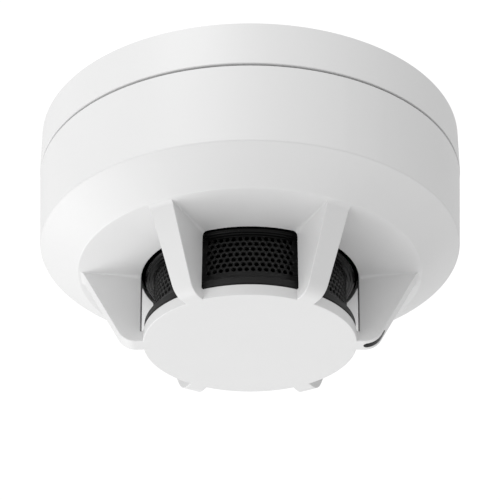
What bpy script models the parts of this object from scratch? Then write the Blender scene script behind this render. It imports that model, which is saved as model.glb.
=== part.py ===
"""Ceiling point smoke detector: a mounting base, a twist-off head and a pull-off outer cover.

The ceiling plane is z = 0 and the detector hangs below it, along -Z.  Azimuths are measured
from the front (-Y) towards +X.  Dimensions are in millimetres and are scaled to metres on use.
"""

import math

import bmesh
import bpy
from mathutils import Matrix, Vector

MM = 0.001

# Overall
HEAD_R = 50.0
GAP = 0.3

# Mounting base
BASE_R = 50.2
BASE_WALL = 2.2
BASE_DEPTH = 10.8
BASE_PLATE = 2.4
CABLE_HOLE_R = 13.0
COLLAR_R = 15.0
COLLAR_DEPTH = 6.0
SLOT_CENTRE_R = 30.0
SLOT_LENGTH = 10.0
SLOT_WIDTH = 4.4
PAD_DEPTH = 5.0
PAD_R_IN = 22.0
PAD_R_OUT = 33.0
PAD_WIDTH = 11.0
TERMINAL_AZIMUTHS = (45.0, 135.0, 225.0, 315.0)
TERMINAL_R = 27.5
LEDGE_AZIMUTHS = (0.0, 120.0, 240.0)
LEDGE_R = 44.6
LEDGE_TOP = -6.6
LEDGE_LOW = -8.4

# Outer cover
SEAM_Z = -11.2
CREASE_R = 49.1
CREASE_Z = -30.0
RIM_R = 40.1
RIM_Z = -36.4
THROAT_R = 25.3
THROAT_Z = -37.4
COVER_WALL = 1.8
CAP_R = 24.5
CAP_Z = -54.1
CAP_THICK = 1.8
CAP_RIM_TOP = -51.4
CAP_WALL = 1.3
FIN_AZIMUTHS = (30.0, 90.0, 150.0, 210.0, 270.0, 330.0)
FIN_BAR_TOP_R = 38.9
FIN_BAR_TOP_Z = -36.3
FIN_SLOPE = 15.4 / 8.7
FIN_BEND_R = 4.6
FIN_HALF_AT_CAP = 2.2
FIN_HALF_AT_RIM = 2.9
FIN_INNER_R = 25.1
FIN_TOP_Z = -35.5
KEY_AZIMUTHS = (60.0, 180.0, 300.0)
KEY_WIDTH = 4.0

# Head chassis
CHASSIS_R = 47.3
CHASSIS_TOP = -12.4
CHASSIS_PLATE = 1.8
CHASSIS_SKIRT_LOW = -19.0
CHASSIS_SKIRT_WALL = 1.6
LUG_SPAN = 16.0
POST_R = 3.0
POST_CENTRE_R = 36.0
POST_AZIMUTHS = (15.0, 135.0, 255.0)

# Circuit board and optics
BOARD_R = 41.5
BOARD_TOP = -20.4
BOARD_THICK = 1.6
CHAMBER_R = 22.4
FLANGE_R = 24.4
SCREEN_TOP = -39.0
SCREEN_LIP_TOP = -49.2
SCREEN_LOW = -51.1
SCREEN_WALL = 0.8
BAFFLE_COUNT = 12

# Indicator light pipe
PIPE_HALF = 1.0
PIPE_R_IN = 28.4
PIPE_THICK = 2.2
PIPE_LENS_IN_R = 26.0
PIPE_LENS_TOP_Z = -50.2


def clear_scene():
    for obj in list(bpy.data.objects):
        bpy.data.objects.remove(obj, do_unlink=True)


def new_collection(name, hidden=False):
    collection = bpy.data.collections.new(name)
    bpy.context.scene.collection.children.link(collection)
    collection.hide_render = hidden
    return collection


def new_material(name, colour, roughness, metallic=0.0):
    material = bpy.data.materials.new(name)
    material.use_nodes = True
    shader = material.node_tree.nodes["Principled BSDF"]
    shader.inputs["Base Color"].default_value = (*colour, 1.0)
    shader.inputs["Roughness"].default_value = roughness
    shader.inputs["Metallic"].default_value = metallic
    return material


def turn_to(azimuth):
    """Rotation that carries a shape built along +X to an azimuth measured from the front."""
    return Matrix.Rotation(math.radians(azimuth - 90.0), 4, "Z")


def turned(name, profile, steps, closed):
    """Mesh object with a Screw modifier turning a profile of (radius, z) about the Z axis."""
    mesh = bpy.data.meshes.new(name)
    points = [(r * MM, 0.0, z * MM) for r, z in profile]
    edges = [(i, i + 1) for i in range(len(points) - 1)]
    if closed:
        edges.append((len(points) - 1, 0))
    mesh.from_pydata(points, edges, [])
    obj = bpy.data.objects.new(name, mesh)
    screw = obj.modifiers.new("Turn", "SCREW")
    screw.axis = "Z"
    screw.angle = math.tau
    screw.steps = steps
    screw.render_steps = steps
    screw.use_merge_vertices = True
    screw.merge_threshold = 0.00001
    return obj


def prism_mesh(name, outline, width, holes=()):
    """Flat outline in (x, z) given a width along Y, as a closed mesh."""
    curve = bpy.data.curves.new(name, "CURVE")
    curve.dimensions = "2D"
    curve.fill_mode = "BOTH"
    curve.extrude = width * MM / 2.0
    for loop in (outline, *holes):
        spline = curve.splines.new("POLY")
        spline.points.add(len(loop) - 1)
        for point, (x, z) in zip(spline.points, loop):
            point.co = (x * MM, z * MM, 0.0, 1.0)
        spline.use_cyclic_u = True
    holder = bpy.data.objects.new(name, curve)
    mesh = bpy.data.meshes.new_from_object(holder)
    bpy.data.objects.remove(holder, do_unlink=True)
    bpy.data.curves.remove(curve)
    work = bmesh.new()
    work.from_mesh(mesh)
    bmesh.ops.remove_doubles(work, verts=work.verts, dist=0.000001)
    bmesh.ops.rotate(work, verts=work.verts, matrix=Matrix.Rotation(math.pi / 2.0, 3, "X"))
    bmesh.ops.recalc_face_normals(work, faces=work.faces)
    work.to_mesh(mesh)
    work.free()
    mesh.name = name
    return mesh


def flat_mesh(name, outline, z_low, z_high, holes=()):
    """Flat outline in (x, y) between two heights, as a closed mesh."""
    mesh = prism_mesh(name, outline, z_high - z_low, holes)
    mesh.transform(Matrix.Rotation(-math.pi / 2.0, 4, "X"))
    mesh.transform(Matrix.Translation((0.0, 0.0, (z_low + z_high) / 2.0 * MM)))
    return mesh


def box_mesh(name, low, high):
    work = bmesh.new()
    bmesh.ops.create_cube(work, size=1.0)
    size = [(b - a) * MM for a, b in zip(low, high)]
    centre = [(a + b) / 2.0 * MM for a, b in zip(low, high)]
    bmesh.ops.scale(work, verts=work.verts, vec=size)
    bmesh.ops.translate(work, verts=work.verts, vec=centre)
    mesh = bpy.data.meshes.new(name)
    work.to_mesh(mesh)
    work.free()
    return mesh


def rod_mesh(name, radius, low, high, sides=20):
    work = bmesh.new()
    bmesh.ops.create_cone(
        work, cap_ends=True, segments=sides, radius1=radius * MM, radius2=radius * MM,
        depth=(high - low) * MM,
    )
    bmesh.ops.translate(work, verts=work.verts, vec=(0.0, 0.0, (low + high) / 2.0 * MM))
    mesh = bpy.data.meshes.new(name)
    work.to_mesh(mesh)
    work.free()
    return mesh


def placed(mesh, azimuth, radius=0.0):
    """The mesh moved out along +X and then turned to an azimuth."""
    mesh.transform(turn_to(azimuth) @ Matrix.Translation((radius * MM, 0.0, 0.0)))
    return mesh


def joined(name, meshes):
    work = bmesh.new()
    for mesh in meshes:
        work.from_mesh(mesh)
        bpy.data.meshes.remove(mesh)
    mesh = bpy.data.meshes.new(name)
    work.to_mesh(mesh)
    work.free()
    return mesh


def combine_object(obj, tool, operation):
    """Adds an EXACT Boolean whose operand is kept in the cutters collection."""
    CUTTERS.objects.link(tool)
    tool.hide_render = True
    tool.display_type = "WIRE"
    boolean = obj.modifiers.new(tool.name, "BOOLEAN")
    boolean.operation = operation
    boolean.solver = "EXACT"
    boolean.object = tool


def combine(obj, name, mesh, operation):
    combine_object(obj, bpy.data.objects.new(name, mesh), operation)


def axis_empty(name, parent=None):
    """Empty on a joint's axis that carries the pieces of one moving body."""
    empty = bpy.data.objects.new(name, None)
    PARTS.objects.link(empty)
    empty.parent = parent
    return empty


def add_part(obj, material, body):
    """Links a piece to its body, with its modifiers applied and its round faces shaded smooth."""
    PARTS.objects.link(obj)
    obj.parent = body
    bpy.context.view_layer.update()
    graph = bpy.context.evaluated_depsgraph_get()
    mesh = bpy.data.meshes.new_from_object(obj.evaluated_get(graph))
    obj.modifiers.clear()
    obj.data = mesh
    mesh.name = obj.name
    mesh.materials.clear()
    mesh.materials.append(material)
    mesh.shade_smooth()
    mesh.set_sharp_from_angle(angle=math.radians(35.0))
    return obj


def mesh_part(name, mesh, material, body):
    return add_part(bpy.data.objects.new(name, mesh), material, body)


def stadium(length, width, steps=6):
    """Slot outline along X."""
    radius = width / 2.0
    reach = length / 2.0 - radius
    points = []
    for centre, start in ((reach, -90.0), (-reach, 90.0)):
        for i in range(steps + 1):
            angle = math.radians(start + 180.0 * i / steps)
            points.append((centre + radius * math.cos(angle), radius * math.sin(angle)))
    return points


def arc_block(name, r_in, r_out, az_from, az_to, z_low, z_high, steps=6):
    """Segment of a ring between two azimuths and two heights."""
    outline = []
    for radius, first, last in ((r_out, az_from, az_to), (r_in, az_to, az_from)):
        for i in range(steps + 1):
            azimuth = math.radians(first + (last - first) * i / steps)
            outline.append((radius * math.sin(azimuth), -radius * math.cos(azimuth)))
    return flat_mesh(name, outline, z_low, z_high)


def bar_outline(grow=0.0, steps=6):
    """Outer edge of a fin, from the rim down the slanted bar and round the bend to the bottom."""
    slope = math.atan(FIN_SLOPE)
    corner_r = FIN_BAR_TOP_R - (FIN_BAR_TOP_Z - CAP_Z) / FIN_SLOPE
    tangent = FIN_BEND_R * math.tan(slope / 2.0)
    centre = (corner_r - tangent, CAP_Z + FIN_BEND_R)
    points = []
    for i in range(steps + 1):
        angle = slope * i / steps - math.pi / 2.0
        reach = FIN_BEND_R + grow
        points.append((centre[0] + reach * math.cos(angle), centre[1] + reach * math.sin(angle)))
    return points


def fin_mesh(name):
    """Radial fin whose half width grows from the cap out to the rim."""
    top_r = FIN_BAR_TOP_R + (FIN_TOP_Z - FIN_BAR_TOP_Z) / FIN_SLOPE
    outline = [(CAP_R - 0.6, CAP_Z), *bar_outline(), (top_r, FIN_TOP_Z)]
    outline += [(FIN_INNER_R, -36.8), (FIN_INNER_R, CAP_RIM_TOP), (CAP_R - 0.6, CAP_RIM_TOP)]
    mesh = prism_mesh(name, outline, 2.0)
    taper = (FIN_HALF_AT_RIM - FIN_HALF_AT_CAP) / (FIN_BAR_TOP_R - CAP_R)
    for vertex in mesh.vertices:
        half = FIN_HALF_AT_CAP + taper * (vertex.co.x / MM - CAP_R)
        vertex.co.y = math.copysign(half * MM, vertex.co.y)
    return mesh


def pipe_outline(grow, skin, stem_top):
    """Light pipe in (x, z): a foot that follows the fin's bend and a stem up to the board.

    grow widens it into the channel that holds it, and skin lifts its outer edge off the fin.
    """
    slope = math.atan(FIN_SLOPE)
    lens_z = PIPE_LENS_TOP_Z + grow
    lens_r = FIN_BAR_TOP_R - (FIN_BAR_TOP_Z - lens_z) / FIN_SLOPE
    stem_out = PIPE_R_IN + PIPE_THICK + grow
    stem_in = PIPE_R_IN - grow
    inner = bar_outline(grow=-PIPE_THICK - grow, steps=8)
    inner_end = inner[-1]
    knee_z = inner_end[1] + (stem_in - inner_end[0]) * FIN_SLOPE
    outline = [(PIPE_LENS_IN_R - grow, CAP_Z - skin), *bar_outline(grow=skin, steps=8)]
    outline += [(lens_r + skin * math.sin(slope), lens_z - skin * math.cos(slope))]
    outline += [(stem_out, lens_z + 0.2), (stem_out, stem_top), (stem_in, stem_top)]
    outline += [(stem_in, knee_z), *reversed(inner), (PIPE_LENS_IN_R - grow, inner[0][1])]
    return outline


clear_scene()
PARTS = new_collection("smoke_detector")
CUTTERS = new_collection("cutters", hidden=True)
BASE = axis_empty("base")
HEAD = axis_empty("head_twist_axis", BASE)
COVER = axis_empty("cover_pull_axis", HEAD)

WHITE = new_material("cover_white", (0.86, 0.86, 0.86), 0.42)
BASE_WHITE = new_material("base_white", (0.84, 0.84, 0.84), 0.45)
CHASSIS_WHITE = new_material("chassis_white", (0.78, 0.78, 0.77), 0.5)
BLACK = new_material("chamber_black", (0.02, 0.02, 0.02), 0.5)
SCREEN_BLACK = new_material("screen_black", (0.03, 0.03, 0.03), 0.4)
SMOKED = new_material("smoked_lens", (0.08, 0.08, 0.08), 0.15)
BOARD_GREEN = new_material("board_green", (0.03, 0.2, 0.08), 0.4)
CHIP_BLACK = new_material("chip_black", (0.03, 0.03, 0.035), 0.5)
NICKEL = new_material("nickel_steel", (0.6, 0.6, 0.58), 0.3, 1.0)
BRASS = new_material("contact_brass", (0.72, 0.55, 0.25), 0.3, 1.0)
LED_CLEAR = new_material("led_clear", (0.75, 0.78, 0.8), 0.1)
CAN_SILVER = new_material("can_silver", (0.55, 0.56, 0.58), 0.35, 1.0)


# Mounting base: ceiling plate, skirt, cable collar, terminal pads and bayonet ledges in one moulding.
base = turned(
    "base_moulding",
    (
        (CABLE_HOLE_R, 0.0), (BASE_R, 0.0), (BASE_R, -BASE_DEPTH + 0.3),
        (BASE_R - 0.3, -BASE_DEPTH), (BASE_R - BASE_WALL, -BASE_DEPTH),
        (BASE_R - BASE_WALL, -BASE_PLATE), (COLLAR_R, -BASE_PLATE), (COLLAR_R, -COLLAR_DEPTH),
        (CABLE_HOLE_R, -COLLAR_DEPTH),
    ),
    64, closed=True,
)
pads = []
for azimuth in TERMINAL_AZIMUTHS:
    half = PAD_WIDTH / 2.0
    pad = box_mesh("pad", (PAD_R_IN, -half, -PAD_DEPTH), (PAD_R_OUT, half, -BASE_PLATE + 0.6))
    pads.append(placed(pad, azimuth))
ledges = []
for azimuth in LEDGE_AZIMUTHS:
    wall_r = BASE_R - BASE_WALL + 0.8
    last = azimuth + LUG_SPAN / 2.0 + 3.9
    ledges.append(arc_block("ledge", LEDGE_R, wall_r, azimuth - 9.0, last, LEDGE_LOW, LEDGE_TOP))
    stop_r = LEDGE_R + 0.5
    ledges.append(
        arc_block("stop", stop_r, wall_r + 0.4, last - 3.5, last - 0.6, LEDGE_LOW + 0.6, -4.4, 2)
    )
combine(base, "base_pads", joined("base_pads", pads), "UNION")
for index, ledge in enumerate(ledges):
    combine(base, "base_ledge_%d" % (index + 1), ledge, "UNION")
pilots = []
for azimuth in TERMINAL_AZIMUTHS:
    pilots.append(placed(rod_mesh("pilot", 1.9, -6.0, -1.0, 16), azimuth, TERMINAL_R))
combine(base, "base_pilots", joined("base_pilots", pilots), "DIFFERENCE")
slots = []
for azimuth in (90.0, 270.0):
    slot = flat_mesh("slot", stadium(SLOT_LENGTH, SLOT_WIDTH), -BASE_PLATE - 1.0, 1.0)
    slots.append(placed(slot, azimuth, SLOT_CENTRE_R))
combine(base, "base_slots", joined("base_slots", slots), "DIFFERENCE")
add_part(base, BASE_WHITE, BASE)

# Terminals: spring contact, clamp washer and screw at each pad.
for number, azimuth in enumerate(TERMINAL_AZIMUTHS, start=1):
    leaf = (
        (22.6, -5.3), (22.6, -6.1), (32.7, -6.1), (35.7, -6.9), (40.0, -6.9),
        (40.0, -6.1), (36.0, -6.1), (33.0, -5.3),
    )
    contact = bpy.data.objects.new(
        "terminal_contact_%d" % number, placed(prism_mesh("leaf", leaf, 9.0), azimuth)
    )
    hole = placed(rod_mesh("hole", 1.9, -8.0, -4.0, 16), azimuth, TERMINAL_R)
    combine(contact, "contact_hole_%d" % number, hole, "DIFFERENCE")
    add_part(contact, BRASS, BASE)
    washer = bpy.data.objects.new(
        "clamp_washer_%d" % number,
        placed(box_mesh("washer", (-4.2, -4.2, -7.4), (4.2, 4.2, -6.4)), azimuth, TERMINAL_R),
    )
    hole = placed(rod_mesh("hole", 1.9, -9.0, -5.0, 16), azimuth, TERMINAL_R)
    combine(washer, "washer_hole_%d" % number, hole, "DIFFERENCE")
    add_part(washer, NICKEL, BASE)
    screw = turned(
        "terminal_screw_%d" % number,
        ((0.0, -1.4), (1.3, -1.4), (1.6, -1.8), (1.6, -7.7), (3.4, -7.7), (3.4, -9.0),
         (2.8, -9.7), (0.0, -9.7)),
        20, closed=False,
    )
    screw.location = turn_to(azimuth) @ Vector((TERMINAL_R * MM, 0.0, 0.0))
    drive = box_mesh("drive", (-4.0, -0.45, -10.5), (4.0, 0.45, -8.9))
    drive.transform(Matrix.Translation(screw.location))
    combine(screw, "screw_slot_%d" % number, drive, "DIFFERENCE")
    add_part(screw, NICKEL, BASE)

# Head chassis: plate, skirt with three key notches, bayonet lugs and board posts.
plate_low = CHASSIS_TOP - CHASSIS_PLATE
chassis = turned(
    "head_chassis",
    (
        (0.0, CHASSIS_TOP), (CHASSIS_R, CHASSIS_TOP), (CHASSIS_R, CHASSIS_SKIRT_LOW),
        (CHASSIS_R - CHASSIS_SKIRT_WALL, CHASSIS_SKIRT_LOW),
        (CHASSIS_R - CHASSIS_SKIRT_WALL, plate_low), (0.0, plate_low),
    ),
    64, closed=False,
)
for number, azimuth in enumerate(LEDGE_AZIMUTHS, start=1):
    half = LUG_SPAN / 2.0
    post = arc_block("lug_post", 41.8, 44.2, azimuth - half, azimuth + half, -12.9, -4.4)
    hook = arc_block("lug_hook", 43.2, 47.6, azimuth - half + 0.5, azimuth + half - 0.5, -6.3, -4.7)
    combine(chassis, "lug_post_%d" % number, post, "UNION")
    combine(chassis, "lug_hook_%d" % number, hook, "UNION")
posts = []
for azimuth in POST_AZIMUTHS:
    posts.append(placed(rod_mesh("post", POST_R, -20.1, plate_low + 0.5, 24), azimuth, POST_CENTRE_R))
combine(chassis, "board_posts", joined("board_posts", posts), "UNION")
bores = []
for azimuth in POST_AZIMUTHS:
    bores.append(placed(rod_mesh("bore", 1.4, -21.0, -15.5, 16), azimuth, POST_CENTRE_R))
combine(chassis, "post_bores", joined("post_bores", bores), "DIFFERENCE")
notches = []
for azimuth in KEY_AZIMUTHS:
    half = KEY_WIDTH / 2.0 + 0.4
    notch = box_mesh("notch", (43.0, -half, -25.0), (52.0, half, plate_low - 0.2))
    notches.append(placed(notch, azimuth))
combine(chassis, "key_notches", joined("key_notches", notches), "DIFFERENCE")
add_part(chassis, CHASSIS_WHITE, HEAD)

# Head contacts that stand up to meet the terminal contacts.
for number, azimuth in enumerate(TERMINAL_AZIMUTHS, start=1):
    blade = (
        (33.6, -12.1), (40.2, -12.1), (40.2, -11.3), (38.6, -11.3), (38.6, -7.6), (38.2, -7.2),
        (35.0, -7.2), (34.6, -7.6), (34.6, -8.0), (37.8, -8.0), (37.8, -11.3), (33.6, -11.3),
    )
    mesh_part("head_contact_%d" % number, placed(prism_mesh("blade", blade, 7.0), azimuth), BRASS, HEAD)

# Circuit board with its screws and main components.
board_low = BOARD_TOP - BOARD_THICK
board = turned(
    "circuit_board",
    ((0.0, BOARD_TOP), (BOARD_R, BOARD_TOP), (BOARD_R, board_low), (0.0, board_low)),
    48, closed=False,
)
holes = []
for azimuth in POST_AZIMUTHS:
    holes.append(placed(rod_mesh("hole", 1.6, -23.0, -19.0, 16), azimuth, POST_CENTRE_R))
combine(board, "board_holes", joined("board_holes", holes), "DIFFERENCE")
add_part(board, BOARD_GREEN, HEAD)
for number, azimuth in enumerate(POST_AZIMUTHS, start=1):
    screw = turned(
        "board_screw_%d" % number,
        ((0.0, -16.0), (1.1, -16.0), (1.1, -22.3), (2.6, -22.3), (2.6, -23.4), (2.1, -24.0),
         (0.0, -24.0)),
        16, closed=False,
    )
    screw.location = turn_to(azimuth) @ Vector((POST_CENTRE_R * MM, 0.0, 0.0))
    drive = box_mesh("drive", (-3.0, -0.35, -25.0), (3.0, 0.35, -23.3))
    drive.transform(Matrix.Translation(screw.location))
    combine(screw, "board_screw_slot_%d" % number, drive, "DIFFERENCE")
    add_part(screw, NICKEL, HEAD)
chip = placed(box_mesh("chip", (-5.0, -5.0, -24.0), (5.0, 5.0, board_low - GAP)), 200.0, 34.0)
mesh_part("controller_chip", chip, CHIP_BLACK, HEAD)
capacitor = turned(
    "filter_capacitor",
    ((0.0, -22.3), (3.0, -22.3), (3.0, -23.0), (3.15, -23.4), (3.15, -29.2), (2.8, -29.6),
     (0.0, -29.6)),
    24, closed=False,
)
capacitor.location = turn_to(310.0) @ Vector((34.5 * MM, 0.0, 0.0))
add_part(capacitor, CAN_SILVER, HEAD)
indicator = turned(
    "indicator_led",
    ((0.0, -22.3), (1.5, -22.3), (1.5, -25.6), (1.1, -26.4), (0.5, -26.8), (0.0, -26.9)),
    16, closed=False,
)
indicator.location = ((PIPE_R_IN + PIPE_THICK / 2.0) * MM, 0.0, 0.0)
add_part(indicator, LED_CLEAR, HEAD)

# Optical chamber: carrier, light baffles, emitter, receiver and its shield.
carrier = turned(
    "chamber_carrier",
    (
        (0.0, -37.2), (20.9, -37.2), (20.9, -22.3), (26.5, -22.3), (26.5, -24.0),
        (CHAMBER_R, -24.0), (CHAMBER_R, -36.6), (FLANGE_R, -36.9), (FLANGE_R, -38.0),
        (23.8, -38.4), (CHAMBER_R, -38.7), (0.0, -38.7),
    ),
    64, closed=False,
)
add_part(carrier, BLACK, HEAD)
vanes = []
for index in range(BAFFLE_COUNT):
    azimuth = 15.0 + index * 360.0 / BAFFLE_COUNT
    vane = box_mesh("vane", (-2.6, -0.5, -49.4), (2.6, 0.5, -39.6))
    vane.transform(Matrix.Rotation(math.radians(38.0), 4, "Z"))
    vanes.append(placed(vane, azimuth, 17.6))
baffles = turned(
    "light_baffles",
    ((0.0, SCREEN_TOP), (21.0, SCREEN_TOP), (21.0, -40.0), (0.0, -40.0)),
    48, closed=False,
)
combine(baffles, "baffle_vanes", joined("baffle_vanes", vanes), "UNION")
holder = placed(box_mesh("holder", (7.6, -3.8, -48.4), (11.7, 3.8, -39.6)), 0.0)
combine(baffles, "emitter_holder", holder, "UNION")
bore = rod_mesh("bore", 2.8, -15.0, -5.0)
bore.transform(Matrix.Rotation(math.pi / 2.0, 4, "X"))
bore.transform(Matrix.Translation((0.0, -20.0 * MM, -44.6 * MM)))
combine(baffles, "emitter_bore", bore, "DIFFERENCE")
add_part(baffles, BLACK, HEAD)

screen = turned(
    "insect_screen",
    (
        (0.0, -50.7), (CHAMBER_R - SCREEN_WALL, -50.7), (CHAMBER_R - SCREEN_WALL, SCREEN_TOP),
        (CHAMBER_R, SCREEN_TOP), (CHAMBER_R, -48.8), (22.8, SCREEN_LIP_TOP),
        (FLANGE_R - 0.1, SCREEN_LIP_TOP), (FLANGE_R - 0.1, SCREEN_LOW), (22.8, SCREEN_LOW),
        (22.8, -51.7), (0.0, -51.7),
    ),
    64, closed=False,
)
add_part(screen, SCREEN_BLACK, HEAD)

emitter = turned(
    "infrared_emitter",
    ((0.0, 0.0), (2.9, 0.0), (2.9, -1.0), (2.5, -1.0), (2.5, -5.0), (1.8, -6.6), (0.8, -7.4),
     (0.0, -7.5)),
    20, closed=False,
)
emitter.matrix_world = (
    Matrix.Translation((0.0, 0.0, -44.6 * MM))
    @ turn_to(0.0)
    @ Matrix.Translation((13.0 * MM, 0.0, 0.0))
    @ Matrix.Rotation(math.pi / 2.0, 4, "Y")
)
add_part(emitter, LED_CLEAR, HEAD)
receiver = placed(box_mesh("receiver", (7.0, -2.4, -47.0), (10.2, 2.4, -42.2)), 130.0)
mesh_part("photodiode", receiver, CHIP_BLACK, HEAD)
shield = bpy.data.objects.new(
    "receiver_shield",
    placed(box_mesh("shield", (5.4, -3.3, -47.9), (11.3, 3.3, -40.3)), 130.0),
)
pocket = placed(box_mesh("pocket", (6.6, -2.7, -47.3), (10.5, 2.7, -39.8)), 130.0)
combine(shield, "shield_pocket", pocket, "DIFFERENCE")
aperture = placed(box_mesh("aperture", (4.0, -1.6, -46.2), (7.0, 1.6, -43.0)), 130.0)
combine(shield, "shield_aperture", aperture, "DIFFERENCE")
add_part(shield, CAN_SILVER, HEAD)

# Outer cover: wall, coned underside, six fins and the flat cap in one moulding.
slope_r = (CREASE_R + RIM_R) / 2.0 + 0.1
slope_z = (CREASE_Z + RIM_Z) / 2.0 - 0.15
cover = turned(
    "outer_cover",
    (
        (0.0, CAP_Z + CAP_THICK), (CAP_R - CAP_WALL, CAP_Z + CAP_THICK),
        (CAP_R - CAP_WALL, CAP_RIM_TOP), (CAP_R, CAP_RIM_TOP), (CAP_R, CAP_Z), (0.0, CAP_Z),
    ),
    72, closed=False,
)
shell = turned(
    "cover_shell",
    (
        (HEAD_R + 0.1 - COVER_WALL, SEAM_Z), (HEAD_R - 0.1, SEAM_Z), (HEAD_R + 0.1, SEAM_Z - 0.2),
        (CREASE_R, CREASE_Z), (slope_r, slope_z), (RIM_R + 0.5, RIM_Z + 0.28), (RIM_R, RIM_Z),
        (THROAT_R, THROAT_Z), (THROAT_R, THROAT_Z + 1.6), (RIM_R - 0.8, RIM_Z + 1.7),
        (CREASE_R - COVER_WALL, CREASE_Z + 0.7),
    ),
    72, closed=True,
)
combine_object(cover, shell, "UNION")
fins = [placed(fin_mesh("fin"), azimuth) for azimuth in FIN_AZIMUTHS]
combine(cover, "fins", joined("fins", fins), "UNION")
keys = []
for azimuth in KEY_AZIMUTHS:
    half = KEY_WIDTH / 2.0
    keys.append(placed(box_mesh("key", (46.4, -half, -20.0), (48.6, half, -15.0)), azimuth))
combine(cover, "keys", joined("keys", keys), "UNION")
channel = prism_mesh("channel", pipe_outline(GAP, 1.0, -22.0), 2.0 * (PIPE_HALF + GAP))
combine(cover, "pipe_channel", placed(channel, 90.0), "DIFFERENCE")
add_part(cover, WHITE, COVER)

pipe = prism_mesh("pipe", pipe_outline(0.0, 0.0, -27.2), 2.0 * PIPE_HALF)
mesh_part("indicator_light_pipe", placed(pipe, 90.0), SMOKED, COVER)
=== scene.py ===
"""Ceiling point smoke detector: white cover, mounting base, black optical chamber and the parts inside.

Lengths in the settings are in metres.  Inside the builders they are in millimetres and MM scales them.
The ceiling plane is z = 0 and the detector hangs below it.
Azimuths are measured from the front (-Y) towards +X.
"""

import math

import bmesh
import bpy
from mathutils import Matrix, Vector


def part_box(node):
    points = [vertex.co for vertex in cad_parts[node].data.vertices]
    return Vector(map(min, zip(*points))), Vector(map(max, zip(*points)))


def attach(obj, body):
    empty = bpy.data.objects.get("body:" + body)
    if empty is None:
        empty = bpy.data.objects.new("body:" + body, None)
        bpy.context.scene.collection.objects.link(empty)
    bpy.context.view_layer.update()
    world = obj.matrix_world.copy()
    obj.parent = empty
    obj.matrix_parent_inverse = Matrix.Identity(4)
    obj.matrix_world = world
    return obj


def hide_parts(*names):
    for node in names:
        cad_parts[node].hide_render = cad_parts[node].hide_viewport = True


bl_info = {
    "name": "Smoke Detector",
    "version": (1, 0, 0),
    "blender": (4, 5, 0),
    "location": "View3D > Sidebar > Smoke Detector",
    "description": "Builds the finished surfaces of a ceiling smoke detector around its packed solids",
    "category": "Object",
}

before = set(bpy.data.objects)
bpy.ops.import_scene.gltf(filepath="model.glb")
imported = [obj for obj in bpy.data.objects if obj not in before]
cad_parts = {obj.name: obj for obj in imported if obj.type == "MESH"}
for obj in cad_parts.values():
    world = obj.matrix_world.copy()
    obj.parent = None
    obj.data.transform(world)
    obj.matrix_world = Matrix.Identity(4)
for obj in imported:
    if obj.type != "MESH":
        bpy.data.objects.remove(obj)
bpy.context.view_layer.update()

MM = 0.001
WELD = 0.002 * MM
SHARP_ANGLE = math.radians(38.0)
EDGE_ANGLE = math.radians(40.0)
EDGE_SEGMENTS = 3
TURN = math.tau
FIN_COUNT = 6
SECTOR = TURN / FIN_COUNT
FIRST_FIN = math.radians(30.0)

# Outer cover, in millimetres
COVER_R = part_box("outer_cover")[1].x / MM
CAP_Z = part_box("outer_cover")[0].z / MM
SEAM_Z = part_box("outer_cover")[1].z / MM
CREASE = (49.1, -30.0)
RIM = (40.1, -36.4)
THROAT = (25.3, -37.4)
COVER_WALL = 1.8
THROAT_WALL = 1.6
CAP_R = 24.5
CAP_THICK = 1.8
CAP_WALL = 1.3
CAP_SIDE = 2.7
FIN_INNER_R = 25.1
FIN_BAR_TOP = (38.8, -36.48)
FIN_SLOPE = 15.4 / 8.7
FIN_BEND_R = 4.6
FIN_HALF_AT_CAP = 2.2
FIN_HALF_AT_RIM = 2.9
FIN_DRAFT = 0.015
FIN_ANGLE = math.atan(FIN_SLOPE)
FIN_FOOT_R = FIN_BAR_TOP[0] - (FIN_BAR_TOP[1] - CAP_Z) / FIN_SLOPE
FIN_BEND_REACH = FIN_BEND_R * math.tan(FIN_ANGLE / 2.0)
FIN_TAPER = (
    FIN_HALF_AT_RIM - FIN_HALF_AT_CAP - FIN_DRAFT * (FIN_BAR_TOP[1] - CAP_Z)
) / (FIN_BAR_TOP[0] - CAP_R)
BAR_TOP_FILLET = 1.4
CONE_BOW = 0.15
FIN_STEPS = 4
RING_STEPS = 14
FILLET_STEPS = (0.0, 0.12, 0.3, 0.55, 0.85, 1.2)
WINDOW_STEPS = 10

KEY_AZIMUTHS = (60.0, 180.0, 300.0)
KEY_HALF = 2.0

# Mounting base and its terminals, in millimetres
BASE_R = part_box("base_moulding")[1].x / MM
BASE_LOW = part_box("base_moulding")[0].z / MM
SHADOW_GAP_TOP = BASE_LOW + 0.12
BASE_WALL = 2.2
BASE_PLATE = 2.4
CABLE_HOLE_R = 13.0
COLLAR_R = 15.0
COLLAR_LOW = -6.0
SLOT_AZIMUTHS = (90.0, 270.0)
SLOT_CENTRE_R = 30.0
SLOT_LENGTH = 10.0
SLOT_WIDTH = 4.4
TERMINAL_AZIMUTHS = (45.0, 135.0, 225.0, 315.0)
TERMINAL_R = 27.5
LEDGE_AZIMUTHS = (0.0, 120.0, 240.0)
LEDGE_R = 44.6
LUG_HALF_SPAN = 8.0

# Head chassis and circuit board, in millimetres
CHASSIS_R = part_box("head_chassis")[1].x / MM
CHASSIS_TOP = -12.4
CHASSIS_PLATE = 1.8
SKIRT_LOW = -19.0
SKIRT_WALL = 1.6
POST_AZIMUTHS = (15.0, 135.0, 255.0)
POST_CENTRE_R = 36.0
BOARD_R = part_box("circuit_board")[1].x / MM
BOARD_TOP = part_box("circuit_board")[1].z / MM
BOARD_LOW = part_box("circuit_board")[0].z / MM
CHIP_PLACE = (200.0, 34.0)
CHIP_LOW = -24.0
CHIP_HALF = 3.9
LEADS_A_SIDE = 11
LEAD_PITCH = 0.62
LEAD_WIDTH = 0.3
CAPACITOR_PLACE = (310.0, 34.5)

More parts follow.
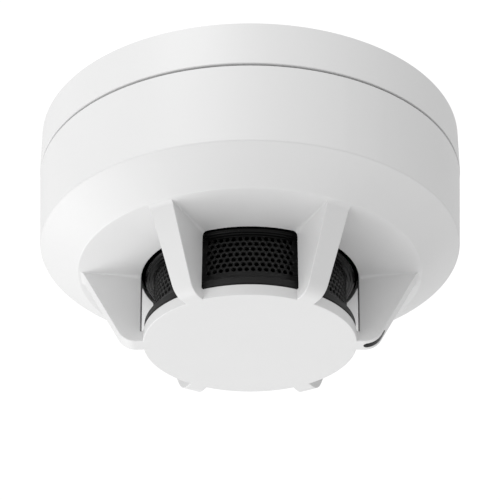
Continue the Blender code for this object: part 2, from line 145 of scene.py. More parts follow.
# Optical chamber, in millimetres
SCREEN_R = 22.4
MESH_TOP = -38.0
MESH_WALL = 0.7
LIP_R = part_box("insect_screen")[1].x / MM
LIP_TOP = -49.2
LIP_LOW = -51.1
SCREEN_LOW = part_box("insect_screen")[0].z / MM
PITCHES_AROUND = 96
FLANGE_R = 24.4
CARRIER_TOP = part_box("chamber_carrier")[1].z / MM
BAFFLE_COUNT = 12
BAFFLE_R = 17.6
BAFFLE_TWIST = 38.0
OPTICS_Z = -44.6
RECEIVER_AZIMUTH = 130.0

# Indicator light pipe, in millimetres
PIPE_HALF = 1.0
PIPE_IN_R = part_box("indicator_light_pipe")[0].x / MM
PIPE_TOP_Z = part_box("indicator_light_pipe")[1].z / MM
PIPE_LENS_TOP_Z = -50.2
PIPE_STEM_R = 28.4
PIPE_THICK = 2.2
PIPE_AZIMUTH = math.radians(90.0)

# Stage, in metres
LAMP_DISTANCE = 1.5
LAMP_SIZE = 0.9
LAMP_PLACES = (
    ("left_lamp", -45.0, -25.0), ("low_lamp", -135.0, -40.0), ("side_lamp", -90.0, -40.0),
    ("high_lamp", -32.0, 50.0),
)
AIM = (0.0, 0.0, -0.03)
SENSOR_WIDTH = 36.0
BACKDROP_STRENGTH = 1.05
FLOOR_RADIUS = 8.0
FLOOR_Z = -1.3
FLOOR_COLOUR = (0.85, 0.85, 0.85, 1.0)
FLOOR_ROUGHNESS = 0.9


class CoverSettings(bpy.types.PropertyGroup):
    """Sizes of the outer cover's softened edges"""

    crease_round: bpy.props.FloatProperty(
        name="Crease radius", description="Rounding where the side wall turns into the sloping underside",
        default=0.0006, min=0.0002, max=0.003, unit="LENGTH",
    )
    rim_round: bpy.props.FloatProperty(
        name="Rim radius", description="Rounding where the slope meets the flat ring around the fins",
        default=0.0007, min=0.0002, max=0.002, unit="LENGTH",
    )
    edge_round: bpy.props.FloatProperty(
        name="Edge radius", description="Rounding of the fins' and the cap's outer edges",
        default=0.00022, min=0.00005, max=0.0004, unit="LENGTH",
    )
    fin_fillet: bpy.props.FloatProperty(
        name="Fin fillet", description="Radius in the corner between a fin and the ring it hangs from",
        default=0.00035, min=0.0, max=0.001, unit="LENGTH",
    )
    window_corner: bpy.props.FloatProperty(
        name="Window corner", description="Radius of the upper corners of a smoke window",
        default=0.0011, min=0.0, max=0.0012, unit="LENGTH",
    )


class ScreenSettings(bpy.types.PropertyGroup):
    """Perforation of the insect screen"""

    hole_width: bpy.props.FloatProperty(
        name="Hole width", description="Width of one opening in the insect screen",
        default=0.00105, min=0.0005, max=0.0013, unit="LENGTH",
    )
    row_pitch: bpy.props.FloatProperty(
        name="Row pitch", description="Height from one row of openings to the next",
        default=0.00130, min=0.0009, max=0.0014, unit="LENGTH",
    )
    rows: bpy.props.IntProperty(
        name="Rows", description="Rows of openings, one above the other", default=7, min=1, max=7,
    )
    holes_per_window: bpy.props.IntProperty(
        name="Openings per window", description="Openings side by side in one smoke window",
        default=14, min=4, max=15,
    )


class FinishSettings(bpy.types.PropertyGroup):
    """Colours of the visible plastics"""

    cover_colour: bpy.props.FloatVectorProperty(
        name="Cover white", description="White of the outer cover", subtype="COLOR",
        size=3, default=(0.70, 0.70, 0.70), min=0.0, max=1.0,
    )
    base_colour: bpy.props.FloatVectorProperty(
        name="Base white", description="White of the mounting base", subtype="COLOR",
        size=3, default=(0.70, 0.70, 0.70), min=0.0, max=1.0,
    )
    screen_colour: bpy.props.FloatVectorProperty(
        name="Screen black", description="Black of the insect screen", subtype="COLOR",
        size=3, default=(0.010, 0.010, 0.010), min=0.0, max=1.0,
    )
    lens_colour: bpy.props.FloatVectorProperty(
        name="Smoked lens", description="Dark tint of the indicator's light pipe", subtype="COLOR",
        size=3, default=(0.01, 0.01, 0.0105), min=0.0, max=1.0,
    )


class StageSettings(bpy.types.PropertyGroup):
    """Camera, lamps and floor"""

    focal_length: bpy.props.FloatProperty(
        name="Focal length", description="Camera lens, in millimetres", default=138.7, min=20.0, max=300.0,
    )
    camera_distance: bpy.props.FloatProperty(
        name="Distance in front", description="How far in front of the detector's axis the camera stands",
        default=0.39377, min=0.1, max=3.0, unit="LENGTH",
    )
    camera_drop: bpy.props.FloatProperty(
        name="Drop", description="How far below the ceiling plane the camera stands",
        default=0.25367, min=0.0, max=3.0, unit="LENGTH",
    )
    camera_pitch: bpy.props.FloatProperty(
        name="Pitch", description="Upward tilt of the camera",
        default=math.radians(29.72), min=0.0, max=math.pi / 2.0, unit="ROTATION",
    )
    ambient: bpy.props.FloatProperty(
        name="Ambient", description="Strength of the even light from all round",
        default=0.76, min=0.0, max=3.0,
    )
    left_lamp: bpy.props.FloatProperty(
        name="Left lamp", description="Power of the soft lamp below in front on the left, in watts",
        default=4.0, min=0.0, max=100.0,
    )
    low_lamp: bpy.props.FloatProperty(
        name="Low lamp", description="Power of the soft lamp below and behind on the left, in watts",
        default=8.4, min=0.0, max=100.0,
    )
    side_lamp: bpy.props.FloatProperty(
        name="Side lamp", description="Power of the soft lamp below on the left, in watts",
        default=2.5, min=0.0, max=100.0,
    )
    high_lamp: bpy.props.FloatProperty(
        name="High lamp", description="Power of the soft lamp above in front on the left, in watts",
        default=10.0, min=0.0, max=100.0,
    )


def settings():
    return bpy.context.scene.smoke_detector


# ---------------------------------------------------------------- shared mesh tools


def polar(radius, azimuth, z):
    """Point in metres from a radius and height in millimetres and an azimuth in radians."""
    return Vector((radius * math.sin(azimuth), -radius * math.cos(azimuth), z)) * MM


def softened(points, closed=False, step=math.radians(12.0)):
    """Profile of (r, z) pairs in which a third number on a point rounds that corner with that radius."""
    count = len(points)
    result = []
    for index, point in enumerate(points):
        at_end = not closed and index in (0, count - 1)
        if len(point) == 2 or point[2] == 0.0 or at_end:
            result.append(tuple(point[:2]))
            continue
        corner = Vector(point[:2])
        before = (Vector(points[index - 1][:2]) - corner).normalized()
        after = (Vector(points[(index + 1) % count][:2]) - corner).normalized()
        turn = math.pi - before.angle(after)
        reach = point[2] * math.tan(turn / 2.0)
        start = corner + before * reach
        end = corner + after * reach
        centre = corner + (before + after).normalized() * (point[2] / math.cos(turn / 2.0))
        steps = max(2, math.ceil(turn / step))
        first = start - centre
        swing = first.angle_signed(end - centre)
        for i in range(steps + 1):
            arm = first.copy()
            arm.rotate(Matrix.Rotation(-swing * i / steps, 2))
            result.append(tuple(centre + arm))
    return result


def skin(work, rows, closed=False):
    """Quads between consecutive rows of points, all of the same length."""
    rows = [[work.verts.new(point) for point in row] for row in rows]
    pairs = list(zip(rows, rows[1:]))
    if closed:
        pairs.append((rows[-1], rows[0]))
    for low, high in pairs:
        for i in range(len(low) - 1):
            work.faces.new((low[i], low[i + 1], high[i + 1], high[i]))


def welded(work):
    """Joins coinciding points and turns the faces outwards."""
    bmesh.ops.remove_doubles(work, verts=work.verts, dist=WELD)
    bmesh.ops.recalc_face_normals(work, faces=work.faces)


def as_mesh(work, name):
    mesh = bpy.data.meshes.new(name)
    work.to_mesh(mesh)
    work.free()
    return mesh


def finished(work, name):
    """Welds, drops empty faces, turns the faces outwards and returns the mesh."""
    bmesh.ops.remove_doubles(work, verts=work.verts, dist=WELD)
    bmesh.ops.dissolve_degenerate(work, edges=work.edges, dist=WELD)
    bmesh.ops.recalc_face_normals(work, faces=work.faces)
    return as_mesh(work, name)


def turned(name, profile, steps=144, closed=False):
    """Profile of (r, z) turned about the vertical axis."""
    work = bmesh.new()
    azimuths = [TURN * i / steps for i in range(steps + 1)]
    skin(work, [[polar(r, a, z) for a in azimuths] for r, z in profile], closed)
    return finished(work, name)


def extruded(name, outline, low, high, round_edge=0.0):
    """Outline in (x, y) given a height, with its edges softened."""
    work = bmesh.new()
    floor = work.faces.new([work.verts.new((x * MM, y * MM, low * MM)) for x, y in outline])
    top = bmesh.ops.extrude_face_region(work, geom=[floor])
    moved = [v for v in top["geom"] if isinstance(v, bmesh.types.BMVert)]
    bmesh.ops.translate(work, verts=moved, vec=(0.0, 0.0, (high - low) * MM))
    bmesh.ops.recalc_face_normals(work, faces=work.faces)
    soften_edges(work, round_edge, EDGE_ANGLE)
    return finished(work, name)


def soften_edges(work, radius, least_angle, keep=None):
    """Rounds the convex edges that are sharper than an angle."""
    if radius <= 0.0:
        return
    edges = [
        e for e in work.edges
        if e.is_manifold and e.calc_face_angle_signed(0.0) > least_angle and (keep is None or keep(e))
    ]
    bmesh.ops.bevel(
        work, geom=edges, offset=radius * MM, offset_type="OFFSET", segments=EDGE_SEGMENTS,
        profile=0.5, affect="EDGES", clamp_overlap=False,
    )


def block(name, low, high, round_edge=0.15):
    outline = ((low[0], low[1]), (high[0], low[1]), (high[0], high[1]), (low[0], high[1]))
    return extruded(name, outline, low[2], high[2], round_edge)


def plate_along(name, outline, width, round_edge=0.0):
    """Outline in (x, z) given a width across it."""
    mesh = extruded(name, outline, -width / 2.0, width / 2.0, round_edge)
    mesh.transform(Matrix.Rotation(math.pi / 2.0, 4, "X"))
    return mesh


def rod(name, radius, low, high, round_edge=0.0, steps=32):
    profile = ((0.0, high), (radius, high, round_edge), (radius, low, round_edge), (0.0, low))
    return turned(name, softened(profile), steps)


def stadium(length, width, steps=12):
    """Slot outline along X."""
    radius = width / 2.0
    reach = length / 2.0 - radius
    angles = [math.pi * (i / steps - 0.5) for i in range(steps + 1)]
    right = [(reach + radius * math.cos(a), radius * math.sin(a)) for a in angles]
    return right + [(-x, -y) for x, y in right]


def square(half, corner):
    """Outline of a square with rounded corners."""
    corners = ((-1, -1), (1, -1), (1, 1), (-1, 1))
    return softened([(half * x, half * y, corner) for x, y in corners], True)


def ring_part(name, r_in, r_out, middle, half_span, low, high, round_edge=0.2, steps=10):
    """Segment of a ring about an azimuth, in degrees."""
    azimuths = [math.radians(middle + half_span * (2.0 * i / steps - 1.0)) for i in range(steps + 1)]
    outer = [(r_out * math.sin(a), -r_out * math.cos(a)) for a in azimuths]
    inner = [(r_in * math.sin(a), -r_in * math.cos(a)) for a in reversed(azimuths)]
    return extruded(name, outer + inner, low, high, round_edge)


def turn_to(azimuth):
    """Rotation that carries a shape built along +X to an azimuth in radians."""
    return Matrix.Rotation(azimuth - math.pi / 2.0, 4, "Z")


def placed(mesh, azimuth, radius=0.0):
    mesh.transform(turn_to(azimuth) @ Matrix.Translation((radius * MM, 0.0, 0.0)))
    return mesh


def repeated(azimuths, make, radius=0.0):
    """One new shape at each azimuth, in degrees."""
    return [placed(make(), math.radians(azimuth), radius) for azimuth in azimuths]


def laid_along_x(mesh, x, z):
    """Turns a shape made about the vertical axis to lie along X, and moves it, in millimetres."""
    mesh.transform(Matrix.Rotation(math.pi / 2.0, 4, "Y"))
    mesh.transform(Matrix.Translation((x * MM, 0.0, z * MM)))
    return mesh


def joined(name, meshes):
    work = bmesh.new()
    for mesh in meshes:
        work.from_mesh(mesh)
        bpy.data.meshes.remove(mesh)
    return as_mesh(work, name)


def linked(name, data):
    """New object in the scene."""
    obj = bpy.data.objects.new(name, data)
    bpy.context.scene.collection.objects.link(obj)
    return obj


def cut(mesh, tool):
    """The mesh less another one, by an exact Boolean."""
    holder = linked("holder", mesh)
    other = linked("other", tool)
    boolean = holder.modifiers.new("Cut", "BOOLEAN")
    boolean.operation = "DIFFERENCE"
    boolean.solver = "EXACT"
    boolean.object = other
    graph = bpy.context.evaluated_depsgraph_get()
    result = bpy.data.meshes.new_from_object(holder.evaluated_get(graph))
    for obj in (holder, other):
        bpy.data.objects.remove(obj, do_unlink=True)
    return result


def piece(name, mesh, slot, body, node=None):
    """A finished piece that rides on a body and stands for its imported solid."""
    mesh.name = name
    mesh.materials.clear()
    mesh.materials.append(bpy.data.materials[slot + "_finish"])
    mesh.shade_smooth()
    mesh.set_sharp_from_angle(angle=SHARP_ANGLE)
    obj = linked(name, mesh)
    even = obj.modifiers.new("Even normals", "WEIGHTED_NORMAL")
    even.keep_sharp = True
    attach(obj, body)
    if node:
        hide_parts(node)
    return obj


# ---------------------------------------------------------------- materials


def node_group(name, inputs, outputs):
    """Empty shader node group with named sockets, and its input and output nodes."""
    group = bpy.data.node_groups.new(name, "ShaderNodeTree")
    for label, kind, default in inputs:
        socket = group.interface.new_socket(label, in_out="INPUT", socket_type=kind)
        socket.default_value = default
    for label, kind in outputs:
        group.interface.new_socket(label, in_out="OUTPUT", socket_type=kind)
    return group, group.nodes.new("NodeGroupInput"), group.nodes.new("NodeGroupOutput")


def feed(tree, value, socket):
    """Links another socket to a socket, or sets its value."""
    if isinstance(value, bpy.types.NodeSocket):
        tree.links.new(value, socket)
    else:
        socket.default_value = value


def maths(tree, operation, first, second):
    node = tree.nodes.new("ShaderNodeMath")
    node.operation = operation
    feed(tree, first, node.inputs[0])
    feed(tree, second, node.inputs[1])
    return node.outputs[0]


def varied(tree, pattern, spread, level):
    """A level that a pattern moves up and down."""
    shift = maths(tree, "MULTIPLY", maths(tree, "SUBTRACT", pattern, 0.5), spread)
    return maths(tree, "ADD", shift, level)


def mixed(tree, factor, first, second):
    """One colour over another."""
    node = tree.nodes.new("ShaderNodeMix")
    node.data_type = "RGBA"
    feed(tree, factor, node.inputs["Factor"])
    feed(tree, first, node.inputs["A"])
    feed(tree, second, node.inputs["B"])
    return node.outputs["Result"]


def bumped(tree, height, strength, distance, normal=None):
    node = tree.nodes.new("ShaderNodeBump")
    node.inputs["Distance"].default_value = distance
    feed(tree, strength, node.inputs["Strength"])
    feed(tree, height, node.inputs["Height"])
    if normal:
        feed(tree, normal, node.inputs["Normal"])
    return node.outputs["Normal"]


def noise(tree, vector, scale, detail, stretch=(1.0, 1.0, 1.0)):
    mapping = tree.nodes.new("ShaderNodeMapping")
    mapping.inputs["Scale"].default_value = stretch
    tree.links.new(vector, mapping.inputs["Vector"])
    node = tree.nodes.new("ShaderNodeTexNoise")
    node.inputs["Detail"].default_value = detail
    tree.links.new(mapping.outputs["Vector"], node.inputs["Vector"])
    feed(tree, scale, node.inputs["Scale"])
    return node.outputs["Fac"]


GROUP_OUTPUTS = (
    ("Colour", "NodeSocketColor"),
    ("Roughness", "NodeSocketFloat"),
    ("Normal", "NodeSocketVector"),
)


def make_moulded_group():
    """Fine spark-eroded grain, slow mottling of the colour and an uneven sheen, as on moulded plastic."""
    tree, inputs, outputs = node_group(
        "moulded_grain",
        (
            ("Colour", "NodeSocketColor", (0.8, 0.8, 0.8, 1.0)),
            ("Mottling", "NodeSocketFloat", 0.02),
            ("Roughness", "NodeSocketFloat", 0.4),
            ("Sheen spread", "NodeSocketFloat", 0.08),
            ("Grain scale", "NodeSocketFloat", 4500.0),
            ("Grain depth", "NodeSocketFloat", 0.05),
        ),
        GROUP_OUTPUTS,
    )
    place = tree.nodes.new("ShaderNodeTexCoord").outputs["Object"]
    grain = noise(tree, place, inputs.outputs["Grain scale"], 3.0)
    flow = noise(tree, place, 90.0, 3.0, (1.0, 1.0, 0.5))
    patches = noise(tree, place, 380.0, 2.0)
    level = varied(tree, flow, inputs.outputs["Mottling"], 1.0)
    scaled = tree.nodes.new("ShaderNodeVectorMath")
    scaled.operation = "SCALE"
    tree.links.new(inputs.outputs["Colour"], scaled.inputs[0])
    tree.links.new(level, scaled.inputs["Scale"])
    tree.links.new(scaled.outputs[0], outputs.inputs["Colour"])
    sheen = varied(tree, patches, inputs.outputs["Sheen spread"], inputs.outputs["Roughness"])
    tree.links.new(sheen, outputs.inputs["Roughness"])
    normal = bumped(tree, grain, inputs.outputs["Grain depth"], 0.00004)
    tree.links.new(normal, outputs.inputs["Normal"])


def make_metal_group():
    """Drawing lines, dulled patches and slight darkening, as on plated or stamped metal."""
    tree, inputs, outputs = node_group(
        "drawn_metal",
        (
            ("Colour", "NodeSocketColor", (0.6, 0.6, 0.6, 1.0)),
            ("Tarnish", "NodeSocketColor", (0.4, 0.4, 0.4, 1.0)),
            ("Roughness", "NodeSocketFloat", 0.3),
            ("Line scale", "NodeSocketFloat", 2500.0),
            ("Line depth", "NodeSocketFloat", 0.1),
        ),
        GROUP_OUTPUTS,
    )
    place = tree.nodes.new("ShaderNodeTexCoord").outputs["Object"]
    lines = noise(tree, place, inputs.outputs["Line scale"], 2.0, (1.0, 0.08, 1.0))
    dull = noise(tree, place, 700.0, 4.0)
    colour = mixed(tree, maths(tree, "POWER", dull, 2.0), inputs.outputs["Colour"], inputs.outputs["Tarnish"])
    tree.links.new(colour, outputs.inputs["Colour"])
    tree.links.new(varied(tree, dull, 0.25, inputs.outputs["Roughness"]), outputs.inputs["Roughness"])
    normal = bumped(tree, lines, inputs.outputs["Line depth"], 0.00003)
    tree.links.new(normal, outputs.inputs["Normal"])


def shader_with(name, group, values, **constants):
    """Material whose Principled shader takes colour, roughness and normal from a group."""
    material = bpy.data.materials.new(name)
    material.use_nodes = True
    tree = material.node_tree
    shader = tree.nodes["Principled BSDF"]
    node = tree.nodes.new("ShaderNodeGroup")
    node.node_tree = group
    for label, value in values.items():
        node.inputs[label].default_value = value
    for label, target in (("Colour", "Base Color"), ("Roughness", "Roughness"), ("Normal", "Normal")):
        tree.links.new(node.outputs[label], shader.inputs[target])
    for label, value in constants.items():
        shader.inputs[label.replace("_", " ")].default_value = value
    return material


def plastic(name, colour, roughness, mottling=0.03, scale=4500.0, depth=0.05, **constants):
    values = {
        "Colour": (*colour, 1.0), "Mottling": mottling, "Roughness": roughness,
        "Grain scale": scale, "Grain depth": depth,
    }
    return shader_with(name, bpy.data.node_groups["moulded_grain"], values, **constants)


def metal(name, colour, tarnish, roughness, scale=2500.0, depth=0.1):
    values = {
        "Colour": (*colour, 1.0), "Tarnish": (*tarnish, 1.0), "Roughness": roughness,
        "Line scale": scale, "Line depth": depth,
    }
    return shader_with(name, bpy.data.node_groups["drawn_metal"], values, Metallic=1.0)


TRACK_COLOUR = (0.03, 0.24, 0.09, 1.0)


def board_material():
    """Green solder mask over copper tracks, as a raised lighter network."""
    material = plastic("board_green_finish", (0.012, 0.13, 0.05), 0.3, 0.2, 2500.0, 0.08)
    tree = material.node_tree
    shader = tree.nodes["Principled BSDF"]
    group = next(n for n in tree.nodes if n.type == "GROUP")
    place = tree.nodes.new("ShaderNodeTexCoord").outputs["Object"]
    tracks = tree.nodes.new("ShaderNodeTexBrick")
    tracks.inputs["Scale"].default_value = 330.0
    tracks.inputs["Mortar Size"].default_value = 0.035
    tracks.inputs["Brick Width"].default_value = 1.7
    tracks.inputs["Row Height"].default_value = 0.55
    tree.links.new(place, tracks.inputs["Vector"])
    raised = tracks.outputs["Fac"]
    colour = mixed(tree, raised, group.outputs["Colour"], TRACK_COLOUR)
    tree.links.new(colour, shader.inputs["Base Color"])
    tree.links.new(bumped(tree, raised, 0.6, 0.00006, group.outputs["Normal"]), shader.inputs["Normal"])
    return material


def make_materials():
    """Every finish, by the record's slot name."""
    make_moulded_group()
    make_metal_group()
    finish = settings().finish
    return {
        "cover_white": plastic("cover_white_finish", finish.cover_colour, 0.42, 0.02, 4200.0, 0.05),
        "base_white": plastic("base_white_finish", finish.base_colour, 0.44, 0.02, 4200.0, 0.05),
        "chassis_white": plastic("chassis_white_finish", (0.72, 0.72, 0.71), 0.5, 0.03, 3500.0, 0.08),
        "chamber_black": plastic(
            "chamber_black_finish", (0.003, 0.003, 0.003), 0.28, 0.2, 3500.0, 0.05, Specular_IOR_Level=0.14,
        ),
        "screen_black": plastic(
            "screen_black_finish", finish.screen_colour, 0.42, 0.25, 3500.0, 0.06, Specular_IOR_Level=0.25,
        ),
        "smoked_lens": plastic(
            "smoked_lens_finish", finish.lens_colour, 0.24, 0.1, 3000.0, 0.01, Specular_IOR_Level=0.09,
        ),
        "board_green": board_material(),
        "chip_black": plastic("chip_black_finish", (0.02, 0.02, 0.022), 0.55, 0.3, 5000.0, 0.12),
        "nickel_steel": metal("nickel_steel_finish", (0.62, 0.61, 0.58), (0.4, 0.39, 0.36), 0.28),
        "contact_brass": metal("contact_brass_finish", (0.74, 0.55, 0.24), (0.45, 0.3, 0.14), 0.3),
        "led_clear": plastic(
            "led_clear_finish", (0.8, 0.84, 0.86), 0.08, 0.05, 2000.0, 0.0, Transmission_Weight=0.75,
        ),
        "can_silver": metal("can_silver_finish", (0.62, 0.63, 0.65), (0.45, 0.45, 0.46), 0.32),
    }


# ---------------------------------------------------------------- outer cover


def fin_half(x, z):
    """Half the width of a fin, which grows outwards and, as its draft, upwards."""
    return FIN_HALF_AT_CAP + FIN_TAPER * (x - CAP_R) + FIN_DRAFT * (z - CAP_Z)


def fin_angle(radius, z, beyond=0.0):
    """Angle off a fin's centre line where its side plane, moved out by beyond, crosses a radius."""
    x = radius
    for _ in range(5):
        y = fin_half(x, z) + beyond
        x = math.sqrt(radius * radius - y * y)
    return math.asin(y / radius)


def bar_outline():
    """Fin's outer edge in (x, z): from the cap's rim round the bend and up the slanted bar to the ring."""
    under = math.atan((RIM[1] - THROAT[1]) / (RIM[0] - THROAT[0]))
    far = (FIN_BAR_TOP[0] + math.cos(under), FIN_BAR_TOP[1] + math.sin(under))
    corners = ((CAP_R, CAP_Z), (FIN_FOOT_R, CAP_Z, FIN_BEND_R), (*FIN_BAR_TOP, BAR_TOP_FILLET), far)
    return softened(corners, step=math.radians(8.0))[:-1]


def underside_z(radius):
    return THROAT[1] + (radius - THROAT[0]) * (RIM[1] - THROAT[1]) / (RIM[0] - THROAT[0])


def bowed(first, last, rise, steps=6):
    """Points between two ends, on a shallow arc that stands out from the straight line."""
    start, end = Vector(first), Vector(last)
    run = (end - start).normalized()
    out = Vector((-run.y, run.x)) * -1.0
    shares = [i / steps for i in range(1, steps)]
    return [tuple(start.lerp(end, t) + out * rise * 4.0 * t * (1.0 - t)) for t in shares]


class CoverShape:
    """Rows and columns of points that make up the cover."""

    def __init__(self, sizes):
        self.fillet = sizes.fin_fillet / MM
        self.corner = sizes.window_corner / MM
        self.bar = bar_outline()
        self.ledge_r = self.bar[-1][0]
        self.outer = softened(
            (
                (COVER_R - COVER_WALL, SEAM_Z), (COVER_R, SEAM_Z, 0.22), (*CREASE, sizes.crease_round / MM),
                *bowed(CREASE, RIM, CONE_BOW), (*RIM, sizes.rim_round / MM),
                (self.ledge_r, underside_z(self.ledge_r)),
            ),
            step=math.radians(6.0),
        )
        self.under = []
        for i in range(RING_STEPS + 1):
            r = self.ledge_r + (THROAT[0] - self.ledge_r) * i / RING_STEPS
            self.under.append((r, underside_z(r)))
        self.inner = [
            (THROAT[0], THROAT[1] + THROAT_WALL), (RIM[0] - 0.8, RIM[1] + 1.7),
            (CREASE[0] - COVER_WALL, CREASE[1] + 0.7), (COVER_R - COVER_WALL, SEAM_Z),
        ]

    def on_fin(self, radius, z):
        """Nearest radius and height at which the fins' sides are met."""
        return min(max(radius, CAP_R), self.ledge_r), min(z, underside_z(self.ledge_r))

    def window_columns(self, radius, z, filleted):
        """Angles off the fin's centre line, with how far the corner fillet brings each one down."""
        near = []
        for distance in FILLET_STEPS:
            drop = self.fillet_drop(radius, distance) if filleted else 0.0
            near.append((fin_angle(*self.on_fin(radius, z - drop), distance), drop))
        last = near[-1][0]
        rest = [(last + (SECTOR / 2.0 - last) * i / WINDOW_STEPS, 0.0) for i in range(1, WINDOW_STEPS + 1)]
        half = near + rest
        return half + [(SECTOR - angle, drop) for angle, drop in reversed(half[:-1])]

    def fin_columns(self, radius, z):
        edge = fin_angle(*self.on_fin(radius, z))
        return [-edge + 2.0 * edge * i / FIN_STEPS for i in range(FIN_STEPS + 1)]

    def fillet_drop(self, radius, distance):
        """How far the corner fillet brings the ring down at a distance from the fin."""
        share = (self.ledge_r - radius) / (self.ledge_r - THROAT[0])
        size = self.fillet * min(1.0, 6.0 * share) + (self.corner - self.fillet) * share ** 3
        if distance >= size:
            return 0.0
        return size - math.sqrt(size * size - (size - distance) ** 2)

    def window_row(self, r, z, centre, filleted=False):
        return [polar(r, centre + angle, z - drop) for angle, drop in self.window_columns(r, z, filleted)]

    def fin_row(self, r, z, centre):
        return [polar(r, centre + angle, z) for angle in self.fin_columns(r, z)]

    def bar_row(self, x, z, centre):
        """Straight row across the bar at a distance from the axis."""
        edge = fin_half(x, z)
        turn = turn_to(centre)
        shares = [2.0 * i / FIN_STEPS - 1.0 for i in range(FIN_STEPS + 1)]
        return [turn @ (Vector((x, edge * share, z)) * MM) for share in shares]


def cover_mesh(sizes):
    """The whole cover: wall, slope, ring, six fins and the cap, as one closed skin."""
    shape = CoverShape(sizes)
    work = bmesh.new()
    side_low = CAP_Z + CAP_SIDE
    cap_in = ((CAP_R, side_low), (CAP_R - CAP_WALL, side_low), (CAP_R - CAP_WALL, CAP_Z + CAP_THICK))
    cap_floor = [(r, CAP_Z + CAP_THICK) for r in (CAP_R - CAP_WALL, 16.0, 8.0, 0.0)]
    cap_base = [(r, CAP_Z) for r in (CAP_R, 22.0, 16.0, 8.0, 0.0)]
    corner_z = THROAT[1] - shape.corner
    for index in range(FIN_COUNT):
        centre = FIRST_FIN + index * SECTOR
        # Window side: the shell's full loop, then the cap's side.
        rows = [shape.window_row(r, z, centre) for r, z in shape.outer[:-1]]
        rows += [shape.window_row(r, z, centre, True) for r, z in shape.under]
        rows += [shape.window_row(r, z, centre) for r, z in shape.inner]
        skin(work, rows)
        skin(work, [shape.window_row(CAP_R, z, centre) for z in (CAP_Z, CAP_Z + 1.0, side_low)])
        # Across the fin: the shell above it, the fin's inner face and the bar.
        skin(work, [shape.fin_row(r, z, centre) for r, z in shape.outer])
        inner_face = ((THROAT[0], corner_z), (FIN_INNER_R, side_low), (CAP_R, side_low))
        skin(work, [shape.fin_row(r, z, centre) for r, z in (*reversed(shape.inner), *inner_face)])
        rows = [shape.fin_row(CAP_R, CAP_Z, centre)]
        rows += [shape.bar_row(x, z, centre) for x, z in shape.bar[1:-1]]
        rows.append(shape.fin_row(*shape.bar[-1], centre))
        skin(work, rows)
        # Cap, over both.
        for row in (shape.window_row, shape.fin_row):
            skin(work, [row(r, z, centre) for r, z in (*cap_in, *cap_floor[1:])])
            skin(work, [row(r, z, centre) for r, z in cap_base])
        # Flat sides of the fin.
        for side in (0, -1):
            outline = [rows[i][side] for i in range(1, len(rows))][::-1]
            top = []
            for r, z in shape.under[1:]:
                low = z - shape.fillet_drop(r, 0.0)
                angle = fin_angle(r, low) * (1.0 if side else -1.0)
                top.append(polar(r, centre + angle, low))
            inner = [shape.fin_row(r, z, centre)[side] for r, z in inner_face[1:]]
            foot = [shape.fin_row(CAP_R, z, centre)[side] for z in (CAP_Z + 1.0, CAP_Z)]
            loop = [outline[0], *top, *inner, *foot, *reversed(outline[1:])]
            work.faces.new([work.verts.new(point) for point in loop])
    welded(work)
    bar_start = (shape.ledge_r - 1.0) * MM

    def roundable(edge):
        middle = (edge.verts[0].co + edge.verts[1].co) / 2.0
        return middle.xy.length < bar_start and middle.z < (THROAT[1] + 0.1) * MM

    soften_edges(work, sizes.edge_round / MM, EDGE_ANGLE, roundable)
    return finished(work, "outer_cover_finish")


def bend_point(along):
    """Point (x, z) and outward direction on a fin's outer edge, this far from the light pipe's inner end."""
    centre = Vector((FIN_FOOT_R - FIN_BEND_REACH, CAP_Z + FIN_BEND_R))
    flat = centre.x - PIPE_IN_R
    angle = min(max((along - flat) / FIN_BEND_R, 0.0), FIN_ANGLE)
    out = Vector((math.sin(angle), -math.cos(angle)))
    left_over = along - flat - angle * FIN_BEND_R
    return centre + out * FIN_BEND_R + Vector((-out.y, out.x)) * left_over, out


def lens_length():
    flat = FIN_FOOT_R - FIN_BEND_REACH - bend_point(0.0)[0].x
    straight = (PIPE_LENS_TOP_Z - CAP_Z) / math.sin(FIN_ANGLE) - FIN_BEND_REACH
    return flat + FIN_ANGLE * FIN_BEND_R + straight


def lens_mesh(name, grow, proud, depth, round_edge):
    """Bar with round ends that follows the bend of a fin, grown sideways and standing proud as given."""
    work = bmesh.new()
    half = PIPE_HALF + grow
    total = lens_length() + 2.0 * grow
    ends = [half * (1.0 - math.cos(math.radians(15.0 * i))) for i in range(7)]
    inner = [half + (total - 2.0 * half) * i / 12 for i in range(1, 12)]
    stations = ends + inner + [total - d for d in reversed(ends)]
    rows = []
    for along in stations:
        from_end = min(along, total - along)
        width = half if from_end >= half else math.sqrt(max(half * half - (half - from_end) ** 2, 0.0))
        point, out = bend_point(along - grow)
        row = []
        for level, shares in ((proud, (-1.0, -0.5, 0.0, 0.5, 1.0)), (-depth, (1.0, 0.5, 0.0, -0.5, -1.0))):
            for share in shares:
                spot = point + out * level
                row.append(Vector((spot.x, width * share, spot.y)) * MM)
        rows.append(row + row[:1])
    skin(work, rows)
    welded(work)
    soften_edges(work, round_edge, math.radians(50.0))
    return finished(work, name)


def stem_mesh(name, grow, low, high, round_edge):
    """Upright part of the light pipe, inside the fin."""
    half = PIPE_HALF + grow
    corner = (PIPE_STEM_R - grow, -half, low)
    return block(name, corner, (PIPE_STEM_R + PIPE_THICK + grow, half, high), round_edge)


